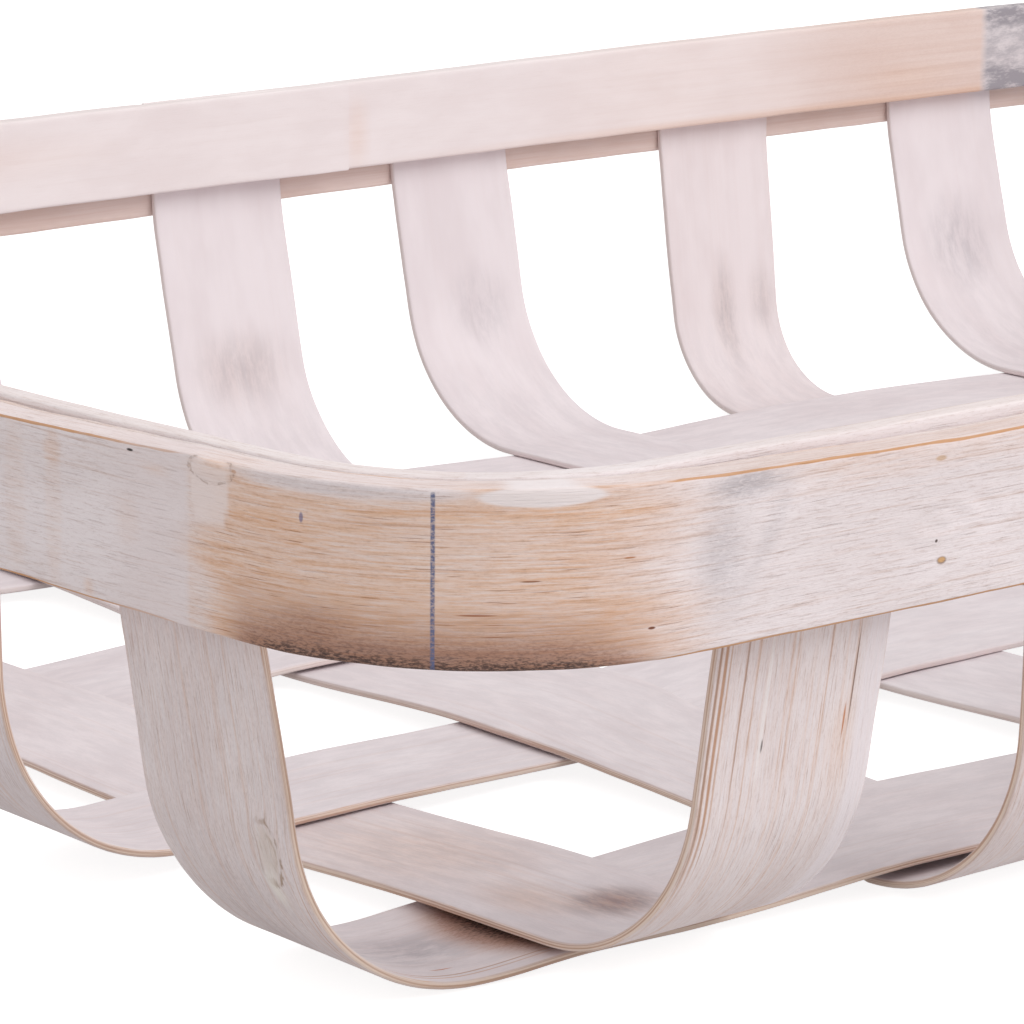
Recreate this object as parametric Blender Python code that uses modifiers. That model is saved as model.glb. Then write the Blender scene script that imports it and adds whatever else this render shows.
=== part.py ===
"""A shallow open tray woven from wide flat splints of whitewashed wood.

Four splints run along the tray and six run across it. They cross over and under each other in a plain weave
on the floor, bend up at the sides and end between two rim hoops, with a thin filler strip over their ends.
X runs along the tray, Y across it and Z up. The origin is on the floor under the middle of the tray.
"""

import math

import bpy

# Driving dimensions, in metres
tray_length = 0.600
tray_width = 0.400
tray_height = 0.098
corner_radius = 0.056
long_side_bow = 0.0037
short_side_bow = 0.0086

# Rim hoops and the filler strip between their top edges
outer_hoop_height = 0.030
outer_hoop_thickness = 0.0067
outer_hoop_lap = 0.060
inner_hoop_height = 0.0235
inner_hoop_thickness = 0.0047
inner_hoop_lap = 0.060
filler_height = 0.006
filler_lap = 0.024
lap_tip = 0.0008
lap_run = 0.004

# Splints. A margin is how far the middle of an outermost splint lies in from the side of the tray beside it.
splint_width = 0.038
splint_thickness = 0.0015
lengthwise_margin = 0.06725
crosswise_margin = 0.090
bend_radius = 0.041
knee_radius = 0.060

# Space between pieces that touch, and the length a crossing stays flat past the splint it crosses
clearance = 0.0003
flat_margin = 0.002

# Where each hoop's joint lies along its long side, from the middle of that side
outer_joint_place = 0.120
inner_joint_place = -0.007
filler_joint_place = 0.100

# How far the risers lean in towards the floor
long_side_lean = math.radians(7.0)
short_side_lean = math.radians(5.0)

# The splints are laid by eye. Each row gives how far one lies off its even place at its near or left end,
# in the middle and at its other end, as shares of the splint's width.
lengthwise_shift_shares = (
    (0.23, -0.17, 0.00),
    (-0.24, -0.06, 0.00),
    (-0.09, -0.10, 0.00),
    (-0.10, -0.11, 0.00),
)
crosswise_shift_shares = (
    (0.18, -0.11, -0.11),
    (0.11, -0.18, -0.11),
    (-0.18, -0.02, -0.07),
    (0.00, -0.13, -0.28),
    (0.00, -0.05, -0.11),
    (0.00, 0.00, -0.03),
)

# Smoothness: steps in one arc or ramp
side_steps = 5
corner_steps = 12
lap_steps = 3
knee_steps = 2
bend_steps = 8
ramp_steps = 5
chord_share = 0.6
sharp_angle = math.radians(30.0)

splint_colour = (0.72, 0.65, 0.62, 1.0)
outer_hoop_colour = (0.68, 0.58, 0.52, 1.0)
inner_hoop_colour = (0.74, 0.66, 0.63, 1.0)
filler_colour = (0.76, 0.68, 0.64, 1.0)
wood_roughness = 0.8


def clear_scene():
    """Removes what a new file starts with."""
    for item in list(bpy.data.objects):
        bpy.data.objects.remove(item, do_unlink=True)


def make_collection():
    """Makes the collection that holds the tray."""
    collection = bpy.data.collections.new("splint_tray")
    bpy.context.scene.collection.children.link(collection)
    return collection


def make_material(name, colour):
    """Makes a plain wood finish for one piece."""
    material = bpy.data.materials.new(name)
    material.use_nodes = True
    shader = material.node_tree.nodes["Principled BSDF"]
    shader.inputs["Base Color"].default_value = colour
    shader.inputs["Roughness"].default_value = wood_roughness
    shader.inputs["Metallic"].default_value = 0.0
    return material


def add_piece(collection, name, points, faces, colour):
    """Adds one named piece made of the points and faces given."""
    mesh = bpy.data.meshes.new(name)
    mesh.from_pydata(points, [], faces)
    mesh.validate()
    mesh.shade_smooth()
    mesh.set_sharp_from_angle(angle=sharp_angle)
    mesh.materials.append(make_material(name, colour))
    piece = bpy.data.objects.new(name, mesh)
    collection.objects.link(piece)
    return piece


def bowed_radius(half_length, bow):
    """Radius of an arc that rises by bow over half_length."""
    return (half_length * half_length + bow * bow) / (2.0 * bow)


long_side_radius = bowed_radius(tray_length / 2.0 - corner_radius, long_side_bow)
short_side_radius = bowed_radius(tray_width / 2.0 - corner_radius, short_side_bow)


def corner_centre():
    """Centre of the corner's arc where X and Y are positive, tangent to both bowed sides."""
    short_x = tray_length / 2.0 - short_side_radius
    long_y = tray_width / 2.0 - long_side_radius
    from_short = short_side_radius - corner_radius
    from_long = long_side_radius - corner_radius
    between = math.hypot(short_x, long_y)
    along = (from_short ** 2 - from_long ** 2 + between ** 2) / (2.0 * between)
    off = math.sqrt(from_short ** 2 - along ** 2)
    unit_x = -short_x / between
    unit_y = long_y / between
    return short_x + unit_x * along - unit_y * off, unit_y * along + unit_x * off


def quarter_arcs():
    """The three arcs of the rim's outer face where X and Y are positive, from the end round to the side.

    Each is a centre, a radius and the angles it runs between.
    """
    short_x = tray_length / 2.0 - short_side_radius
    long_y = tray_width / 2.0 - long_side_radius
    corner_x, corner_y = corner_centre()
    first = math.atan2(corner_y, corner_x - short_x)
    second = math.atan2(corner_y - long_y, corner_x)
    return [
        ((short_x, 0.0), short_side_radius, 0.0, first, side_steps),
        ((corner_x, corner_y), corner_radius, first, second, corner_steps),
        ((0.0, long_y), long_side_radius, second, math.pi / 2.0, side_steps),
    ]


def rim_arcs():
    """All twelve arcs of the rim's outer face in order, counter-clockwise from the middle of the +X end."""
    quarter = quarter_arcs()
    arcs = []
    for turn in range(4):
        mirror_x = -1.0 if turn in (1, 2) else 1.0
        mirror_y = -1.0 if turn in (2, 3) else 1.0
        forward = turn % 2 == 0
        for (x, y), radius, start, end, steps in quarter if forward else reversed(quarter):
            angles = []
            for angle in (start, end) if forward else (end, start):
                angles.append(math.atan2(math.sin(angle) * mirror_y, math.cos(angle) * mirror_x))
            if angles[1] < angles[0]:
                angles[1] += 2.0 * math.pi
            arcs.append(((x * mirror_x, y * mirror_y), radius, angles[0], angles[1], steps))
    return arcs


def rim_reach(inset, off_middle, short_side):
    """Distance from the tray's middle to the rim's face, moved in by inset, off the side's middle.

    Also gives the radius of the arc there, which is the corner's past the end of the bowed side.
    """
    short_arc, corner_arc, long_arc = quarter_arcs()
    reach_axis = 0 if short_side else 1
    centre, radius, start, end, steps = short_arc if short_side else long_arc
    if abs(off_middle) > (radius - inset) * math.sin(end - start):
        centre, radius = corner_arc[:2]
    off_centre = abs(off_middle) - centre[1 - reach_axis]
    return centre[reach_axis] + math.sqrt((radius - inset) ** 2 - off_centre ** 2), radius - inset


rim_arc_list = rim_arcs()
rim_girth = sum(radius * (end - start) for centre, radius, start, end, steps in rim_arc_list)


def rim_station(distance):
    """The point of the rim's outer face at a distance round it, and the outward direction there."""
    left = distance % rim_girth
    for centre, radius, start, end, steps in rim_arc_list:
        length = radius * (end - start)
        if left <= length:
            angle = start + left / radius
            outward = (math.cos(angle), math.sin(angle))
            return (centre[0] + radius * outward[0], centre[1] + radius * outward[1]), outward
        left -= length
    return rim_station(0.0)


def even_distances():
    """Distances round the rim at which its arcs are divided."""
    distances = []
    passed = 0.0
    for centre, radius, start, end, steps in rim_arc_list:
        length = radius * (end - start)
        for step in range(steps):
            distances.append(passed + length * step / steps)
        passed += length
    return distances


def joint_distance(place, side):
    """Distance round the rim of a place on a long side; side is 1 for +Y and -1 for -Y."""
    off_middle = long_side_radius * math.asin(place / long_side_radius)
    return rim_girth * (0.5 - side * 0.25) - side * off_middle


def hoop_sections(inset, thickness, lap, proud, start):
    """Distances round a hoop from its joint, each with the insets of its outer and inner face there.

    The hoop is one strip. Its first end is thinned to lap_tip and lies on the inner side of its last end,
    which is thinned the other way, so that the two ends make a scarf joint of the length lap. The first end
    stands proud of the inner face by the amount proud.
    """
    seam_start = thickness - lap_tip - clearance + proud
    sections = []
    for step in range(lap_steps + 1):
        share = step / lap_steps
        seam = seam_start * (1.0 - share) + lap_tip * share
        sections.append((lap * share, inset + seam + clearance, inset + thickness + proud * (1.0 - share)))
    plain_start = lap + lap_run
    plain_end = rim_girth - lap_run
    sections.append((plain_start, inset, inset + thickness))
    shortest = lap_run / 2.0
    for distance in sorted((place - start) % rim_girth for place in even_distances()):
        if plain_start + shortest < distance < plain_end - shortest:
            sections.append((distance, inset, inset + thickness))
    sections.append((plain_end, inset, inset + thickness))
    for step in range(lap_steps + 1):
        share = step / lap_steps
        seam = seam_start * (1.0 - share) + lap_tip * share
        sections.append((rim_girth + lap * share, inset, inset + seam))
    return sections


def make_hoop(collection, name, inset, thickness, bottom, top, lap, proud, start, colour):
    """Lofts a hoop through its sections, from the thin first end to the thin last end."""
    points = []
    faces = []
    sections = hoop_sections(inset, thickness, lap, proud, start)
    for distance, outer_inset, inner_inset in sections:
        (x, y), outward = rim_station(start + distance)
        for depth, level in (
            (outer_inset, bottom), (inner_inset, bottom), (inner_inset, top), (outer_inset, top),
        ):
            points.append((x - outward[0] * depth, y - outward[1] * depth, level))
    for first in range(0, 4 * (len(sections) - 1), 4):
        for corner in range(4):
            following = (corner + 1) % 4
            faces.append((first + corner, first + following, first + following + 4, first + corner + 4))
    last = 4 * (len(sections) - 1)
    faces.append((3, 2, 1, 0))
    faces.append((last, last + 1, last + 2, last + 3))
    return add_piece(collection, name, points, faces, colour)


def make_outer_hoop(collection):
    """The wide hoop that shows all round the outside."""
    start = joint_distance(outer_joint_place, -1.0)
    bottom = tray_height - outer_hoop_height
    return make_hoop(collection, "rim_outer_hoop", 0.0, outer_hoop_thickness, bottom, tray_height,
                     outer_hoop_lap, 0.0, start, outer_hoop_colour)


splint_inset = outer_hoop_thickness + clearance
inner_hoop_inset = splint_inset + splint_thickness + clearance


def make_inner_hoop(collection):
    """The narrower hoop inside the splint ends. One end laps over the other and stands proud of it."""
    start = joint_distance(inner_joint_place, 1.0)
    bottom = tray_height - inner_hoop_height
    proud = lap_tip + clearance
    return make_hoop(collection, "rim_inner_hoop", inner_hoop_inset, inner_hoop_thickness, bottom,
                     tray_height, inner_hoop_lap, proud, start, inner_hoop_colour)


def make_filler(collection):
    """The thin strip that closes the gap between the hoops, over the ends of the splints."""
    start = joint_distance(filler_joint_place, 1.0)
    bottom = tray_height - filler_height
    return make_hoop(collection, "rim_filler", splint_inset, splint_thickness, bottom, tray_height,
                     filler_lap, 0.0, start, filler_colour)


def even_places(count, room, margin):
    """Places of count splints at an even pitch, the outermost ones a margin in from the ends of the room."""
    pitch = (room - 2.0 * margin) / (count - 1)
    return [(index - (count - 1) / 2.0) * pitch for index in range(count)]


lengthwise_places = even_places(len(lengthwise_shift_shares), tray_width, lengthwise_margin)
crosswise_places = even_places(len(crosswise_shift_shares), tray_length, crosswise_margin)


def laid_place(even_place, shift_shares, distance, half_length):
    """Where a splint's middle line lies, at a distance along it from the middle of the tray.

    A parabola through the three shifts of its two ends and its middle.
    """
    share = distance / (half_length + tray_height / 2.0)
    first, middle, last = shift_shares
    shift = first * share * (share - 1.0) / 2.0
    shift += middle * (1.0 - share * share)
    shift += last * share * (share + 1.0) / 2.0
    return even_place + shift * splint_width


def crossings(index, lengthwise):
    """Where a splint meets those it crosses, and whether it lies on top there.

    A crosswise splint is on top where the two places in the rows add up to an even number.
    """
    if lengthwise:
        others = zip(crosswise_places, crosswise_shift_shares)
        own_place = lengthwise_places[index]
        half_length = tray_width / 2.0
    else:
        others = zip(lengthwise_places, lengthwise_shift_shares)
        own_place = crosswise_places[index]
        half_length = tray_length / 2.0
    found = []
    for other, (even_place, shift_shares) in enumerate(others):
        on_top = ((index + other) % 2 == 1) == lengthwise
        found.append((laid_place(even_place, shift_shares, own_place, half_length), on_top))
    return found


def rounded_corner(before, corner, after, tangent, steps):
    """Points of the arc that rounds a corner between two straight runs, starting tangent off the corner."""
    ends = []
    for run_end in (before, after):
        run = math.hypot(run_end[0] - corner[0], run_end[1] - corner[1])
        ends.append([corner[axis] + (run_end[axis] - corner[axis]) * tangent / run for axis in (0, 1)])
    (x0, z0), (x2, z2) = ends
    half_chord = math.hypot(x2 - x0, z2 - z0) / 2.0
    half_turn = math.acos(half_chord / tangent)
    radius = tangent / math.tan(half_turn)
    middle = [(x0 + x2) / 2.0, (z0 + z2) / 2.0]
    reach = math.hypot(corner[0] - middle[0], corner[1] - middle[1])
    to_centre = [(middle[axis] - corner[axis]) / reach for axis in (0, 1)]
    centre = [middle[axis] + to_centre[axis] * radius * math.cos(half_turn) for axis in (0, 1)]
    across = [(x2 - x0) / (2.0 * half_chord), (z2 - z0) / (2.0 * half_chord)]
    points = []
    for step in range(steps + 1):
        angle = half_turn * (2.0 * step / steps - 1.0)
        sideways = radius * math.sin(angle)
        outwards = radius * math.cos(angle)
        point = [centre[axis] + across[axis] * sideways - to_centre[axis] * outwards for axis in (0, 1)]
        points.append(point)
    return points


def riser_points(face, level, lean, first_edge, on_top):
    """Middle plane of one riser from its end between the hoops to the floor, as distance out and height.

    face is how far out it stands between the hoops. A splint that passes under the first it meets is
    flat by that splint's edge, so its bend is as tight as the room there asks.
    """
    knee_tangent = knee_radius * math.tan(lean / 2.0)
    end = [face, tray_height - filler_height - clearance]
    knee = [face, tray_height - inner_hoop_height - knee_tangent]
    foot = [face - (knee[1] - level) * math.tan(lean), level]
    half_turn = (math.pi / 2.0 - lean) / 2.0
    bend_tangent = bend_radius * math.tan(half_turn)
    if not on_top:
        bend_tangent = min(bend_tangent, foot[0] - first_edge - flat_margin)
    inward = [0.0, level]
    points = [end]
    points += rounded_corner(end, knee, foot, knee_tangent, knee_steps)
    points += rounded_corner(knee, foot, inward, bend_tangent, bend_steps)
    return points


def floor_points(meetings):
    """Middle plane of the stretch on the floor, from the first crossing's inner edge to the last one's."""
    flat_reach = splint_width / 2.0 + flat_margin
    points = []
    for (place, on_top), (next_place, next_on_top) in zip(meetings, meetings[1:]):
        start = place + flat_reach
        end = next_place - flat_reach
        for step in range(ramp_steps + 1):
            share = step / ramp_steps
            blend = (1.0 - math.cos(math.pi * share)) / 2.0
            level = floor_level(on_top) * (1.0 - blend) + floor_level(next_on_top) * blend
            points.append([start + (end - start) * share, level])
    return points


def floor_level(on_top):
    """Height of a splint's middle plane where it lies on the floor, or on top of another splint."""
    lift = splint_thickness + clearance if on_top else 0.0
    return splint_thickness / 2.0 + lift


def column_count(end_places, lengthwise):
    """How many columns a splint needs so that its ends keep within the gap between the hoops."""
    outer_edges = [abs(place) + splint_width / 2.0 for place in end_places]
    tightest = min(rim_reach(splint_inset, edge, lengthwise)[1] for edge in outer_edges)
    widest_column = math.sqrt(8.0 * tightest * clearance * chord_share)
    return 1 + math.ceil(splint_width / widest_column)


def make_splint(collection, name, index, lengthwise):
    """Bends one flat splint down from the rim, over and under the others, and up to the rim again.

    Its middle plane is a sheet of a few columns, so that its ends follow the bowed rim, with a wall added.
    """
    if lengthwise:
        even_place = lengthwise_places[index]
        shift_shares = lengthwise_shift_shares[index]
        half_length = tray_length / 2.0
        lean = short_side_lean
    else:
        even_place = crosswise_places[index]
        shift_shares = crosswise_shift_shares[index]
        half_length = tray_width / 2.0
        lean = long_side_lean
    meetings = crossings(index, lengthwise)
    far_end = half_length + tray_height / 2.0
    end_places = [laid_place(even_place, shift_shares, end, half_length) for end in (-far_end, far_end)]
    count = column_count(end_places, lengthwise)
    columns = []
    for column in range(count):
        offset = splint_width * (column / (count - 1) - 0.5)
        risers = []
        for end, end_place, (place, on_top) in zip((-1.0, 1.0), end_places, (meetings[0], meetings[-1])):
            face = rim_reach(splint_inset + splint_thickness / 2.0, end_place + offset, lengthwise)[0]
            first_edge = end * place + splint_width / 2.0
            riser = riser_points(face, floor_level(on_top), lean, first_edge, on_top)
            risers.append([(end * distance, level) for distance, level in riser])
        path = risers[0] + floor_points(meetings) + risers[1][::-1]
        columns.append((offset, path))
    middle_path = columns[count // 2][1]
    laid = []
    for along in distances_along(middle_path):
        laid.append(laid_place(even_place, shift_shares, along, half_length))
    points = []
    for offset, path in columns:
        for (distance, level), place in zip(path, laid):
            across = place + offset
            points.append((distance, across, level) if lengthwise else (across, distance, level))
    row = len(middle_path)
    faces = []
    for first in range(0, row * (count - 1), row):
        for step in range(first, first + row - 1):
            faces.append((step, step + 1, step + 1 + row, step + row))
    splint = add_piece(collection, name, points, faces, splint_colour)
    wall = splint.modifiers.new("thickness", "SOLIDIFY")
    wall.thickness = splint_thickness
    wall.offset = 0.0
    wall.use_even_offset = True
    return splint


def distances_along(path):
    """Distance of each point along the bent splint, from the middle of the tray."""
    lengths = [0.0]
    for (x0, z0), (x1, z1) in zip(path, path[1:]):
        lengths.append(lengths[-1] + math.hypot(x1 - x0, z1 - z0))
    half = lengths[-1] / 2.0
    return [length - half for length in lengths]


def make_tray():
    """Builds the hoops, the filler and both sets of splints."""
    clear_scene()
    collection = make_collection()
    make_outer_hoop(collection)
    make_inner_hoop(collection)
    make_filler(collection)
    for index in range(len(lengthwise_shift_shares)):
        make_splint(collection, f"lengthwise_splint_{index + 1}", index, True)
    for index in range(len(crosswise_shift_shares)):
        make_splint(collection, f"crosswise_splint_{index + 1}", index, False)


make_tray()
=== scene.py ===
"""A shallow tray woven from wide whitewashed splints, seen from above one corner."""

import math

import bpy
import numpy as np
from mathutils import Matrix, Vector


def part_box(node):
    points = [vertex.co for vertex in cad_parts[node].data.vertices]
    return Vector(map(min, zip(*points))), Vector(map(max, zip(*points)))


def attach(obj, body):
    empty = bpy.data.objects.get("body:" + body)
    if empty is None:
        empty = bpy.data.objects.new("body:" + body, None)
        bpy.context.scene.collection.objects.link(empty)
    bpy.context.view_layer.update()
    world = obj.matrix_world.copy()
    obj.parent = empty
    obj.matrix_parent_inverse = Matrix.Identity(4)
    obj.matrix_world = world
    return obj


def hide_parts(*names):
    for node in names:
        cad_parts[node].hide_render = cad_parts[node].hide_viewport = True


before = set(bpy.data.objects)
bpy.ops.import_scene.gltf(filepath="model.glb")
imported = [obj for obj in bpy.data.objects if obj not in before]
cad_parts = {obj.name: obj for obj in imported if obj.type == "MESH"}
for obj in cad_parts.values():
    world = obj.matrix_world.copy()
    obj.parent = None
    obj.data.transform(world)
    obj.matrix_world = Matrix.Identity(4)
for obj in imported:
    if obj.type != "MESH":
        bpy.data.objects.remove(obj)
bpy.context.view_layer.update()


# Outer hoop. One wide strip of split wood, scorched where it was bent over a hot form at the corner and then
# washed with thin white. Its two ends are scarfed and glued on the near long side.
hoop_low, hoop_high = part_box("rim_outer_hoop")
rim_length = hoop_high[0] - hoop_low[0]
rim_width = hoop_high[1] - hoop_low[1]
rim_top = hoop_high[2]
band_height = hoop_high[2] - hoop_low[2]
band_thickness = 0.0067
corner_radius = 0.056
long_bow = 0.0037
short_bow = 0.0086
scarf_length = 0.060
scarf_tip = 0.0008
scarf_run = 0.004
gap = 0.0003


def bowed_radius(half_length, bow):
    """Radius of the arc that rises by bow over half_length."""
    return (half_length ** 2 + bow ** 2) / (2.0 * bow)


def rim_arcs():
    """The rim's eight arcs, counter-clockwise from the start of the near left corner: centres, radii, angles.

    Each side is one arc that bows outwards. Each corner's arc is tangent to the two sides beside it, so its
    centre lies where circles round the two sides' centres, smaller by the corner's radius, cross.
    """
    long_radius = bowed_radius(rim_length / 2 - corner_radius, long_bow)
    short_radius = bowed_radius(rim_width / 2 - corner_radius, short_bow)
    short_x = rim_length / 2 - short_radius
    long_y = rim_width / 2 - long_radius
    between = math.hypot(short_x, long_y)
    from_short = short_radius - corner_radius
    from_long = long_radius - corner_radius
    along = (from_short ** 2 - from_long ** 2 + between ** 2) / (2 * between)
    off = math.sqrt(from_short ** 2 - along ** 2)
    corner_x = short_x - short_x / between * along - long_y / between * off
    corner_y = long_y / between * along - short_x / between * off
    first = math.atan2(corner_y, corner_x - short_x)
    second = math.atan2(corner_y - long_y, corner_x)
    near = np.array([(-corner_x, -corner_y), (0, -long_y), (corner_x, -corner_y), (short_x, 0)])
    radii = np.array([corner_radius, long_radius, corner_radius, short_radius] * 2)
    starts = math.pi + np.array([first, second, math.pi - second, math.pi - first])
    angles = np.concatenate([starts, math.pi + starts, [3 * math.pi + first]])
    return np.concatenate([near, -near]), radii, angles


arc_centres, arc_radii, arc_angles = rim_arcs()
arc_ends = np.cumsum(arc_radii * np.diff(arc_angles))
girth = arc_ends[-1]


def rim_line(around):
    """Points on the rim's outer face and outward directions, at distances round it from the near left corner.

    The distance is counted from the middle of that corner, counter-clockwise, along the arcs.
    """
    walked = (around + arc_ends[0] / 2) % girth
    arc = np.minimum(np.searchsorted(arc_ends, walked, side="right"), len(arc_radii) - 1)
    into = walked - np.concatenate([[0.0], arc_ends])[arc]
    angle = arc_angles[arc] + into / arc_radii[arc]
    outward = np.stack([np.cos(angle), np.sin(angle)], axis=-1)
    return arc_centres[arc] + outward * arc_radii[arc][..., None], outward


def round_rim(place, side):
    """Distance round the rim of the point at X = place on the near (-1) or far (1) long side."""
    walked = math.asin(place / arc_radii[1]) * arc_radii[1]
    return arc_ends[1] / 2 + walked if side < 0 else arc_ends[1] / 2 - walked + girth / 2


def drift(places, wavelength, seed):
    """A slow wander between about -1 and 1: five sines, each shorter and weaker than the one before."""
    phases = np.random.default_rng(seed).uniform(0, 2 * math.pi, 5)
    turns = places * 2 * math.pi / wavelength
    total = sum(0.5 ** k * np.sin(turns * 1.62 ** k + phase) for k, phase in enumerate(phases))
    return total / 1.6


def smooth(value, start, end):
    """0 before start and 1 after end, along a cubic between them. Start may be the larger."""
    share = np.clip((value - start) / (end - start), 0, 1)
    return share * share * (3 - 2 * share)


def spot(x, y, middle, reach, soft=1.0):
    """1 in an ellipse and 0 outside it, falling over the outer share of its reach that soft says."""
    away = np.hypot((x - middle[0]) / reach[0], (y - middle[1]) / reach[1])
    return 1 - smooth(away, 1 - soft, 1)


def spots(x, y, rows):
    """The sum of several spots, each given by its strength, its middle, its reach and how soft it is."""
    return sum(strength * spot(x, y, *place) for strength, *place in rows)


def crispness(points):
    """How clearly the grain shows: fully round the near left corner, faintly where the wash is thick."""
    thin_reach = 0.16
    thick_start = 0.32
    away = np.hypot(points[..., 0] + rim_length / 2, points[..., 1] + rim_width / 2)
    return 1 - 0.9 * smooth(away, thin_reach, thick_start)


def strip_section(face_steps, edge_steps, round_steps):
    """Walk round a strip's section, as four arrays: the corner it belongs to and the direction out of it.

    A point is (core_across * (width / 2 - radius) + out_across * radius) across, and the same through the
    thickness. The walk goes along the inner face, up one edge, back along the outer face and down.
    """
    turn = np.linspace(0, math.pi / 2, round_steps + 1)
    face = np.linspace(-1, 1, face_steps + 1)[1:-1]
    edge = np.linspace(-1, 1, edge_steps + 1)[1:-1]
    rows = []
    for quarter, (across, through) in enumerate([(-1, -1), (1, -1), (1, 1), (-1, 1)]):
        angle = turn + math.pi + quarter * math.pi / 2
        rows.append(np.stack([np.full_like(turn, across), np.full_like(turn, through),
                              np.cos(angle), np.sin(angle)]))
        side = [face, edge, -face, -edge][quarter]
        out = angle[-1]
        flat = np.full_like(side, 1.0)
        if quarter % 2 == 0:
            rows.append(np.stack([side, flat * through, flat * math.cos(out), flat * math.sin(out)]))
        else:
            rows.append(np.stack([flat * across, side, flat * math.cos(out), flat * math.sin(out)]))
    return np.concatenate(rows, axis=1)


def add_object(name, data):
    """Makes an object of this data and puts it into the scene."""
    made = bpy.data.objects.new(name, data)
    bpy.context.scene.collection.objects.link(made)
    return made


def add_strip(name, points, stock, marks, trim):
    """Puts a closed strip into a mesh, from rows of points along it that each go once round its section.

    A flat face closes each end. stock is each point's place in the straight strip before it was bent. marks
    holds the shares of bare warm wood, grey stain and scorch; on the splints some grey and scorch is painted
    shade. trim holds how worn the point is as part of an edge and of a cut side, and how clearly its grain
    shows.
    """
    rows, columns = points.shape[:2]
    index = np.arange(rows * columns).reshape(rows, columns)
    following = np.roll(index, -1, axis=1)
    quads = np.stack([index[:-1], following[:-1], following[1:], index[1:]], axis=-1).reshape(-1, 4)
    faces = quads.tolist() + [index[0, ::-1].tolist(), index[-1].tolist()]
    mesh = bpy.data.meshes.new(name)
    mesh.from_pydata(points.reshape(-1, 3).tolist(), [], faces)
    mesh.shade_smooth()
    mesh.set_sharp_from_angle(angle=math.radians(50))
    for label, values in (("stock", stock), ("marks", marks), ("trim", trim)):
        values = np.broadcast_to(values, points.shape)
        mesh.attributes.new(label, "FLOAT_VECTOR", "POINT").data.foreach_set("vector", values.ravel())
    return add_object(name, mesh)


def stack(*values):
    """Three arrays side by side as the parts of a vector, each stretched to the same shape."""
    return np.stack(np.broadcast_arrays(*values), axis=-1)


band_section = strip_section(30, 5, 3)
band_rounding = 0.0007


def hoop_rows(joint, lap_length, step_near):
    """Distances along a hoop from its joint, close together at the near left corner and wide elsewhere."""
    close_start = -0.115
    close_end = 0.130
    step_far = 0.0030
    fine = np.arange(close_start, close_end, step_near)
    coarse = np.arange(close_end, girth + close_start, step_far)
    around = np.sort(np.concatenate([fine, coarse]) - joint) % girth
    keys = [0, lap_length, lap_length + scarf_run, girth - scarf_run, girth]
    lap = np.linspace(0, lap_length, 30)
    rows = np.concatenate([around, keys, lap, girth + lap])
    rows = np.unique(np.round(rows, 5))
    return rows[np.concatenate([[True], np.diff(rows) > step_near / 2])]


def bend_hoop(name, joint, lap_length, inset, thickness, bottom, top, proud, relief, marks, wear, step_near):
    """A strip carried round the rim from its thin first end to its thin last end, which lap each other.

    It lies inset from the rim's outer face, and proud is how far its lap swells inwards. bottom, top, relief,
    marks and wear are functions of the place on the strip: how high its edges are, how far its outer face
    stands out, what shows on it and how bare its edges and cut sides are.
    """
    rows = hoop_rows(joint, lap_length, step_near)
    seam = thickness - scarf_tip - gap + proud
    outer_keys = [0, lap_length, lap_length + scarf_run]
    outer = inset + np.interp(rows, outer_keys, [seam + gap, scarf_tip + gap, 0])
    inner_keys = [0, lap_length, girth - scarf_run, girth, girth + lap_length]
    inner = inset + np.interp(rows, inner_keys, [thickness + proud, thickness, thickness, seam, scarf_tip])
    around = joint + rows
    home = (around + girth / 2) % girth - girth / 2
    on_line, outward = rim_line(around)
    core_across, core_through, out_across, out_through = band_section[:, None, :]
    half_thickness = ((inner - outer) / 2)[:, None]
    middle = ((inner + outer) / 2)[:, None]
    low = bottom(home)[:, None]
    high = top(home)[:, None]
    half_height = (high - low) / 2
    radius = np.minimum(band_rounding, half_thickness * 0.6)
    across = core_across * (half_height - radius) + out_across * radius
    through = core_through * (half_thickness - radius) + out_through * radius
    height = (high + low) / 2 + across
    face_out = np.clip(out_through, 0, 1) * relief(home[:, None], height)
    reach = through - middle + face_out
    plan = on_line[:, None] + outward[:, None] * reach[..., None]
    points = stack(plan[..., 0], plan[..., 1], height)
    near_edge = np.clip(2.6 * np.abs(out_across) * np.clip(out_through, 0, 1), 0, 1)
    on_side = np.maximum(np.abs(out_across) * (np.abs(core_through) < 1), np.abs(out_across) ** 2)
    stock = stack(home[:, None], height - rim_top + band_height / 2, through)
    bare_edge, bare_side = wear(home[:, None], height)
    trim = stack(near_edge * bare_edge, on_side * bare_side, crispness(points))
    piece = add_strip(name, points, stock, marks(home[:, None], height, out_through), trim)
    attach(piece, "root")
    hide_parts(name)
    return piece


def outer_top(around):
    """Height of the band's top edge, which dips towards the far side and a little beside the corner."""
    places = [-0.45, -0.16, -0.10, -0.05, 0.02, 0.05, 0.10, 0.13, 0.60, 0.80, 1.2]
    drops = [0.0034, 0.0012, 0.0010, 0.0002, 0.0002, 0.0012, 0.0022, 0.0020, 0.0004, 0.0034, 0.0034]
    return rim_top - np.interp(around, places, drops) + 0.00006 * drift(around, 0.03, 3)


def outer_bottom(around):
    """Height of the band's bottom edge."""
    places = [-0.90, -0.60, -0.45, -0.20, -0.10, -0.05, 0.0, 0.05, 0.10, 0.30, 0.70, 0.90]
    lifts = [-0.0003, -0.0003, -0.0008, 0.0010, 0.0013, 0.0003, -0.0004, -0.0006, -0.0006, 0.0, 0.0, -0.0003]
    return rim_top - band_height + np.interp(around, places, lifts) + 0.00005 * drift(around, 0.025, 4)


lump_place = (-0.0475, 0.0962)
lump_reach = (0.0053, 0.0023)
knot_place = (0.0965, 0.0822)


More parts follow.
